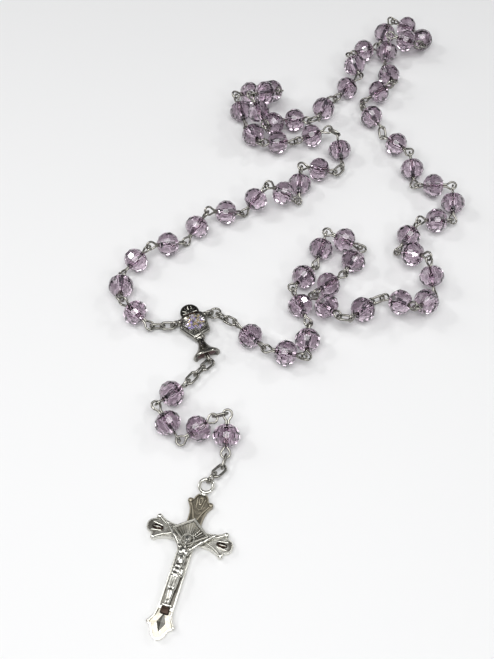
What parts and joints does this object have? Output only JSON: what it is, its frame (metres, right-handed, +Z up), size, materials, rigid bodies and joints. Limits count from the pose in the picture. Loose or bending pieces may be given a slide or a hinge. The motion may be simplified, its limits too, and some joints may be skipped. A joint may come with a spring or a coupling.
{
  "type": "rosary",
  "caption": "Rosary of pale lilac faceted crystal beads on hooked silver wire pins, with a chalice-shaped centre and a silver crucifix, laid down loosely.",
  "frame": {"origin": "centre of the laid-out rosary on the table it lies on", "axes": "+Z up from the table, +Y from the crucifix towards the loop, +X to the right of someone looking from the crucifix"},
  "size_m": [0.1186, 0.2321, 0.0168],
  "materials": {
    "lilac_crystal": "faceted, clear, polished",
    "iridescent_crystal": "small set stones, iridescent",
    "antique_silver": "darkened in the recesses, rubbed bright on top",
    "bright_silver": "cast, polished on the raised parts"
  },
  "bodies": {
    "centre": {"chalice": "antique_silver", "crystal_panel": "iridescent_crystal", "host_disc": "antique_silver"},
    "left_link_1": {"left_link_1": "antique_silver"},
    "left_link_2": {"left_link_2": "antique_silver"},
    "decade_1_beads_01_02": {"decade_1_beads_01_02": "lilac_crystal"},
    "decade_1_beads_03_04": {"decade_1_beads_03_04": "lilac_crystal"},
    "decade_1_beads_05_06": {"decade_1_beads_05_06": "lilac_crystal"},
    "decade_1_beads_07_08": {"decade_1_beads_07_08": "lilac_crystal"},
    "decade_1_beads_09_10": {"decade_1_beads_09_10": "lilac_crystal"},
    "our_father_pin_1": {"our_father_pin_1": "antique_silver"},
    "our_father_bead_1": {"our_father_bead_1": "lilac_crystal"},
    "decade_2_beads_01_02": {"decade_2_beads_01_02": "lilac_crystal"},
    "decade_2_beads_03_04": {"decade_2_beads_03_04": "lilac_crystal"},
    "decade_2_beads_05_06": {"decade_2_beads_05_06": "lilac_crystal"},
    "decade_2_beads_07_08": {"decade_2_beads_07_08": "lilac_crystal"},
    "decade_2_beads_09_10": {"decade_2_beads_09_10": "lilac_crystal"},
    "our_father_pin_2": {"our_father_pin_2": "antique_silver"},
    "our_father_bead_2": {"our_father_bead_2": "lilac_crystal"},
    "right_jump_ring": {"right_jump_ring": "antique_silver"},
    "right_link_1": {"right_link_1": "antique_silver"},
    "right_link_2": {"right_link_2": "antique_silver"},
    "decade_5_beads_10_09": {"decade_5_beads_10_09": "lilac_crystal"},
    "decade_5_beads_08_07": {"decade_5_beads_08_07": "lilac_crystal"},
    "decade_5_beads_06_05": {"decade_5_beads_06_05": "lilac_crystal"},
    "decade_5_beads_04_03": {"decade_5_beads_04_03": "lilac_crystal"},
    "decade_5_beads_02_01": {"decade_5_beads_02_01": "lilac_crystal"},
    "our_father_pin_4": {"our_father_pin_4": "antique_silver"},
    "our_father_bead_4": {"our_father_bead_4": "lilac_crystal"},
    "decade_4_beads_10_09": {"decade_4_beads_10_09": "lilac_crystal"},
    "decade_4_beads_08_07": {"decade_4_beads_08_07": "lilac_crystal"},
    "decade_4_beads_06_05": {"decade_4_beads_06_05": "lilac_crystal"},
    "decade_4_beads_04_03": {"decade_4_beads_04_03": "lilac_crystal"},
    "decade_4_beads_02_01": {"decade_4_beads_02_01": "lilac_crystal"},
    "our_father_pin_3": {"our_father_pin_3": "antique_silver"},
    "our_father_bead_3": {"our_father_bead_3": "lilac_crystal"},
    "decade_3_beads_10_09": {"decade_3_beads_10_09": "lilac_crystal"},
    "decade_3_beads_08_07": {"decade_3_beads_08_07": "lilac_crystal"},
    "decade_3_beads_06_05": {"decade_3_beads_06_05": "lilac_crystal"},
    "decade_3_beads_04_03": {"decade_3_beads_04_03": "lilac_crystal"},
    "decade_3_beads_02_01": {"decade_3_beads_02_01": "lilac_crystal"},
    "closing_link": {"closing_link": "antique_silver"},
    "lower_link_1": {"lower_link_1": "antique_silver"},
    "lower_link_2": {"lower_link_2": "antique_silver"},
    "lower_link_3": {"lower_link_3": "antique_silver"},
    "pendant_pin_1": {"pendant_pin_1": "antique_silver"},
    "pendant_bead_1": {"pendant_bead_1": "lilac_crystal"},
    "pendant_pin_2": {"pendant_pin_2": "antique_silver"},
    "pendant_bead_2": {"pendant_bead_2": "lilac_crystal"},
    "pendant_pin_3": {"pendant_pin_3": "antique_silver"},
    "pendant_bead_3": {"pendant_bead_3": "lilac_crystal"},
    "pendant_link": {"pendant_link": "antique_silver"},
    "pendant_pin_4": {"pendant_pin_4": "antique_silver"},
    "pendant_bead_4": {"pendant_bead_4": "lilac_crystal"},
    "crucifix_link_1": {"crucifix_link_1": "antique_silver"},
    "crucifix_link_2": {"crucifix_link_2": "antique_silver"},
    "crucifix_jump_ring": {"crucifix_jump_ring": "antique_silver"},
    "crucifix": {"crucifix_cross": "bright_silver", "sunburst_plaque": "bright_silver", "figure": "bright_silver"}
  },
  "joints": [
    {"name": "left_link_1_hinge", "type": "hinge", "parent": "centre", "child": "left_link_1", "pos_m": [-0.03867, -0.02123, 0.0019], "axis": [0.033, -0.9995, 0], "range_deg": [-20, 20]},
    {"name": "left_link_2_hinge", "type": "hinge", "parent": "left_link_1", "child": "left_link_2", "pos_m": [-0.04197, -0.02134, 0.0019], "axis": [0.0329, -0.9995, 0], "range_deg": [-20, 20]},
    {"name": "decade_1_beads_01_02_hinge", "type": "hinge", "parent": "left_link_2", "child": "decade_1_beads_01_02", "pos_m": [-0.04526, -0.02145, 0.0019], "axis": [0.2732, -0.2172, 0.9371], "range_deg": [-20, 20]},
    {"name": "decade_1_beads_03_04_hinge", "type": "hinge", "parent": "decade_1_beads_01_02", "child": "decade_1_beads_03_04", "pos_m": [-0.05565, -0.00172, 0.0019], "axis": [-0.6627, 0.7489, 0], "range_deg": [-20, 20]},
    {"name": "decade_1_beads_05_06_hinge", "type": "hinge", "parent": "decade_1_beads_03_04", "child": "decade_1_beads_05_06", "pos_m": [-0.03525, 0.01099, 0.0019], "axis": [-0.2195, -0.2835, 0.9335], "range_deg": [-20, 20]},
    {"name": "decade_1_beads_07_08_hinge", "type": "hinge", "parent": "decade_1_beads_05_06", "child": "decade_1_beads_07_08", "pos_m": [-0.01594, 0.02302, 0.0019], "axis": [-0.597, 0.8022, 0], "range_deg": [-20, 20]},
    {"name": "decade_1_beads_09_10_hinge", "type": "hinge", "parent": "decade_1_beads_07_08", "child": "decade_1_beads_09_10", "pos_m": [0.00274, 0.02804, 0.00223], "axis": [-0.9949, 0.1005, 0], "range_deg": [-12, 20]},
    {"name": "our_father_pin_1_hinge", "type": "hinge", "parent": "decade_1_beads_09_10", "child": "our_father_pin_1", "pos_m": [0.01653, 0.04054, 0.00258], "axis": [-0.7487, 0.6629, 0], "range_deg": [-20, 20]},
    {"name": "our_father_bead_1_spin", "type": "hinge", "parent": "our_father_pin_1", "child": "our_father_bead_1", "pos_m": [0.01793, 0.04924, 0.00431], "axis": [-0.1213, 0.9585, 0.2581], "continuous": true},
    {"name": "decade_2_beads_01_02_hinge", "type": "hinge", "parent": "our_father_pin_1", "child": "decade_2_beads_01_02", "pos_m": [0.01439, 0.05728, 0.00618], "axis": [0.2306, 0.058, -0.9713], "range_deg": [-20, 20]},
    {"name": "decade_2_beads_03_04_hinge", "type": "hinge", "parent": "decade_2_beads_01_02", "child": "decade_2_beads_03_04", "pos_m": [-0.01007, 0.05098, 0.00617], "axis": [-0.9145, -0.4046, 0], "range_deg": [-20, 20]},
    {"name": "decade_2_beads_05_06_hinge", "type": "hinge", "parent": "decade_2_beads_03_04", "child": "decade_2_beads_05_06", "pos_m": [-0.01903, 0.0739, 0.00628], "axis": [0.4884, -0.8726, 0], "range_deg": [-12, 20]},
    {"name": "decade_2_beads_07_08_hinge", "type": "hinge", "parent": "decade_2_beads_05_06", "child": "decade_2_beads_07_08", "pos_m": [-0.00304, 0.07164, 0.01049], "axis": [-0.5063, 0.8623, 0], "range_deg": [-6.3, 18]},
    {"name": "decade_2_beads_09_10_hinge", "type": "hinge", "parent": "decade_2_beads_07_08", "child": "decade_2_beads_09_10", "pos_m": [-0.00779, 0.05576, 0.00844], "axis": [0.9091, -0.4166, 0], "range_deg": [-5.3, 15]},
    {"name": "our_father_pin_2_hinge", "type": "hinge", "parent": "decade_2_beads_09_10", "child": "our_father_pin_2", "pos_m": [0.008, 0.06109, 0.00656], "axis": [-0.0387, -0.0172, 0.9991], "range_deg": [-20, 20]},
    {"name": "our_father_bead_2_spin", "type": "hinge", "parent": "our_father_pin_2", "child": "our_father_bead_2", "pos_m": [0.01301, 0.0684, 0.00508], "axis": [0.3068, 0.9185, -0.2496], "continuous": true},
    {"name": "right_jump_ring_hinge", "type": "hinge", "parent": "centre", "child": "right_jump_ring", "pos_m": [-0.02569, -0.01625, 0.0019], "axis": [0.5906, 0.807, 0], "range_deg": [-20, 20]},
    {"name": "right_link_1_hinge", "type": "hinge", "parent": "right_jump_ring", "child": "right_link_1", "pos_m": [-0.02357, -0.0178, 0.00252], "axis": [0.5895, 0.8078, 0], "range_deg": [-20, 20]},
    {"name": "right_link_2_hinge", "type": "hinge", "parent": "right_link_1", "child": "right_link_2", "pos_m": [-0.02097, -0.0197, 0.00327], "axis": [0.5898, 0.8075, 0], "range_deg": [-20, 20]},
    {"name": "decade_5_beads_10_09_hinge", "type": "hinge", "parent": "right_link_2", "child": "decade_5_beads_10_09", "pos_m": [-0.01837, -0.0216, 0.00396], "axis": [0.7042, 0.71, 0], "range_deg": [-20, 20]},
    {"name": "decade_5_beads_08_07_hinge", "type": "hinge", "parent": "decade_5_beads_10_09", "child": "decade_5_beads_08_07", "pos_m": [0.00342, -0.03406, 0.00488], "axis": [-0.9964, 0.0847, 0], "range_deg": [-20, 20]},
    {"name": "decade_5_beads_06_05_hinge", "type": "hinge", "parent": "decade_5_beads_08_07", "child": "decade_5_beads_06_05", "pos_m": [-0.00047, -0.00932, 0.00534], "axis": [0.7788, -0.6273, 0], "range_deg": [-20, 20]},
    {"name": "decade_5_beads_04_03_hinge", "type": "hinge", "parent": "decade_5_beads_06_05", "child": "decade_5_beads_04_03", "pos_m": [0.01157, 0.01283, 0.00534], "axis": [0.4132, 0.9107, 0], "range_deg": [-20, 20]},
    {"name": "decade_5_beads_02_01_hinge", "type": "hinge", "parent": "decade_5_beads_04_03", "child": "decade_5_beads_02_01", "pos_m": [0.01653, -0.00352, 0.00474], "axis": [0.5959, -0.8031, 0], "range_deg": [-20, 20]},
    {"name": "our_father_pin_4_hinge", "type": "hinge", "parent": "decade_5_beads_02_01", "child": "our_father_pin_4", "pos_m": [0.01443, -0.02094, 0.00669], "axis": [0.035, 0.9994, 0], "range_deg": [-20, 20]},
    {"name": "our_father_bead_4_spin", "type": "hinge", "parent": "our_father_pin_4", "child": "our_father_bead_4", "pos_m": [0.02183, -0.01656, 0.00412], "axis": [0.6348, 0.6931, -0.3415], "continuous": true},
    {"name": "decade_4_beads_10_09_hinge", "type": "hinge", "parent": "our_father_pin_4", "child": "decade_4_beads_10_09", "pos_m": [0.02897, -0.01122, 0.00297], "axis": [-0.3432, 0.2735, 0.8986], "range_deg": [-20, 20]},
    {"name": "decade_4_beads_08_07_hinge", "type": "hinge", "parent": "decade_4_beads_10_09", "child": "decade_4_beads_08_07", "pos_m": [0.04561, -0.01024, 0.00201], "axis": [-0.9794, -0.2021, 0], "range_deg": [-20, 20]},
    {"name": "decade_4_beads_06_05_hinge", "type": "hinge", "parent": "decade_4_beads_08_07", "child": "decade_4_beads_06_05", "pos_m": [0.03513, 0.00714, 0.00191], "axis": [-0.7908, 0.612, 0], "range_deg": [-20, 20]},
    {"name": "decade_4_beads_04_03_hinge", "type": "hinge", "parent": "decade_4_beads_06_05", "child": "decade_4_beads_04_03", "pos_m": [0.05479, 0.0195, 0.00265], "axis": [-0.9976, 0.069, 0], "range_deg": [-20, 20]},
    {"name": "decade_4_beads_02_01_hinge", "type": "hinge", "parent": "decade_4_beads_04_03", "child": "decade_4_beads_02_01", "pos_m": [0.04315, 0.03444, 0.00289], "axis": [-0.9984, -0.0569, 0], "range_deg": [-20, 20]},
    {"name": "our_father_pin_3_hinge", "type": "hinge", "parent": "decade_4_beads_02_01", "child": "our_father_pin_3", "pos_m": [0.03388, 0.05677, 0.0033], "axis": [-0.9844, -0.176, 0], "range_deg": [-20, 20]},
    {"name": "our_father_bead_3_spin", "type": "hinge", "parent": "our_father_pin_3", "child": "our_father_bead_3", "pos_m": [0.03035, 0.06524, 0.00412], "axis": [-0.4674, 0.8739, -0.1334], "continuous": true},
    {"name": "decade_3_beads_10_09_hinge", "type": "hinge", "parent": "our_father_pin_3", "child": "decade_3_beads_10_09", "pos_m": [0.02824, 0.07407, 0.00293], "axis": [-0.2395, -0.1269, 0.9626], "range_deg": [-20, 20]},
    {"name": "decade_3_beads_08_07_hinge", "type": "hinge", "parent": "decade_3_beads_10_09", "child": "decade_3_beads_08_07", "pos_m": [0.03725, 0.09193, 0.0019], "axis": [-0.9808, 0.195, 0], "range_deg": [-20, 20]},
    {"name": "decade_3_beads_06_05_hinge", "type": "hinge", "parent": "decade_3_beads_08_07", "child": "decade_3_beads_06_05", "pos_m": [0.05164, 0.0987, 0.00698], "axis": [-0.9921, 0.1257, 0], "range_deg": [-20, 20]},
    {"name": "decade_3_beads_04_03_hinge", "type": "hinge", "parent": "decade_3_beads_06_05", "child": "decade_3_beads_04_03", "pos_m": [0.04125, 0.11335, 0.00634], "axis": [-0.8881, 0.4597, 0], "range_deg": [-20, 20]},
    {"name": "decade_3_beads_02_01_hinge", "type": "hinge", "parent": "decade_3_beads_04_03", "child": "decade_3_beads_02_01", "pos_m": [0.02413, 0.09599, 0.005], "axis": [0.9745, 0.2244, 0], "range_deg": [-20, 20]},
    {"name": "closing_link_hinge", "type": "hinge", "parent": "decade_3_beads_02_01", "child": "closing_link", "pos_m": [0.01758, 0.07571, 0.0019], "axis": [0.4194, 0.2175, 0.8814], "range_deg": [-20, 20]},
    {"name": "lower_link_1_hinge", "type": "hinge", "parent": "centre", "child": "lower_link_1", "pos_m": [-0.02619, -0.03433, 0.0019], "axis": [0.0672, 0.0669, 0.9955], "range_deg": [-20, 20]},
    {"name": "lower_link_2_hinge", "type": "hinge", "parent": "lower_link_1", "child": "lower_link_2", "pos_m": [-0.02852, -0.03665, 0.00221], "axis": [0.0378, 0.0386, 0.9985], "range_deg": [-20, 20]},
    {"name": "lower_link_3_hinge", "type": "hinge", "parent": "lower_link_2", "child": "lower_link_3", "pos_m": [-0.03083, -0.03901, 0.00239], "axis": [0.0029, 0.0035, 1], "range_deg": [-20, 20]},
    {"name": "pendant_pin_1_hinge", "type": "hinge", "parent": "lower_link_3", "child": "pendant_pin_1", "pos_m": [-0.03291, -0.04156, 0.00241], "axis": [0.1855, 0.1874, 0.9646], "range_deg": [-20, 20]},
    {"name": "pendant_bead_1_spin", "type": "hinge", "parent": "pendant_pin_1", "child": "pendant_bead_1", "pos_m": [-0.03732, -0.04602, 0.00412], "axis": [-0.6787, -0.6855, 0.2637], "continuous": true},
    {"name": "pendant_pin_2_hinge", "type": "hinge", "parent": "pendant_pin_1", "child": "pendant_pin_2", "pos_m": [-0.04174, -0.05047, 0.00583], "axis": [0.1528, -0.2113, 0.9654], "range_deg": [-20, 20]},
    {"name": "pendant_bead_2_spin", "type": "hinge", "parent": "pendant_pin_2", "child": "pendant_bead_2", "pos_m": [-0.03806, -0.05556, 0.00414], "axis": [0.5657, -0.7823, -0.2607], "continuous": true},
    {"name": "pendant_pin_3_hinge", "type": "hinge", "parent": "pendant_pin_2", "child": "pendant_pin_3", "pos_m": [-0.03438, -0.06064, 0.00245], "axis": [-0.2193, -0.1353, 0.9662], "range_deg": [-20, 20]},
    {"name": "pendant_bead_3_spin", "type": "hinge", "parent": "pendant_pin_3", "child": "pendant_bead_3", "pos_m": [-0.02904, -0.05735, 0.00412], "axis": [0.8222, 0.5075, 0.2577], "continuous": true},
    {"name": "pendant_link_hinge", "type": "hinge", "parent": "pendant_pin_3", "child": "pendant_link", "pos_m": [-0.02369, -0.05405, 0.00579], "axis": [-0.1785, 0.9839, 0], "range_deg": [-20, 20]},
    {"name": "pendant_pin_4_hinge", "type": "hinge", "parent": "pendant_link", "child": "pendant_pin_4", "pos_m": [-0.02048, -0.05346, 0.00627], "axis": [0.9988, -0.0495, 0], "range_deg": [-20, 20]},
    {"name": "pendant_bead_4_spin", "type": "hinge", "parent": "pendant_pin_4", "child": "pendant_bead_4", "pos_m": [-0.02078, -0.05961, 0.00417], "axis": [-0.0468, -0.9452, -0.3231], "continuous": true},
    {"name": "crucifix_link_1_hinge", "type": "hinge", "parent": "pendant_pin_4", "child": "crucifix_link_1", "pos_m": [-0.02109, -0.06575, 0.00207], "axis": [-0.0048, -0.0167, 0.9998], "range_deg": [-20, 20]},
    {"name": "crucifix_link_2_hinge", "type": "hinge", "parent": "crucifix_link_1", "child": "crucifix_link_2", "pos_m": [-0.02199, -0.06893, 0.00201], "axis": [0.0688, 0.0661, 0.9954], "range_deg": [-20, 20]},
    {"name": "crucifix_jump_ring_hinge", "type": "hinge", "parent": "crucifix_link_2", "child": "crucifix_jump_ring", "pos_m": [-0.02436, -0.0712, 0.00232], "axis": [-0.0307, -0.0339, 0.999], "range_deg": [-20, 20]},
    {"name": "crucifix_hinge", "type": "hinge", "parent": "crucifix_jump_ring", "child": "crucifix", "pos_m": [-0.02617, -0.0732, 0.0022], "axis": [0, 0, -1], "range_deg": [-20, 20]}
  ]
}
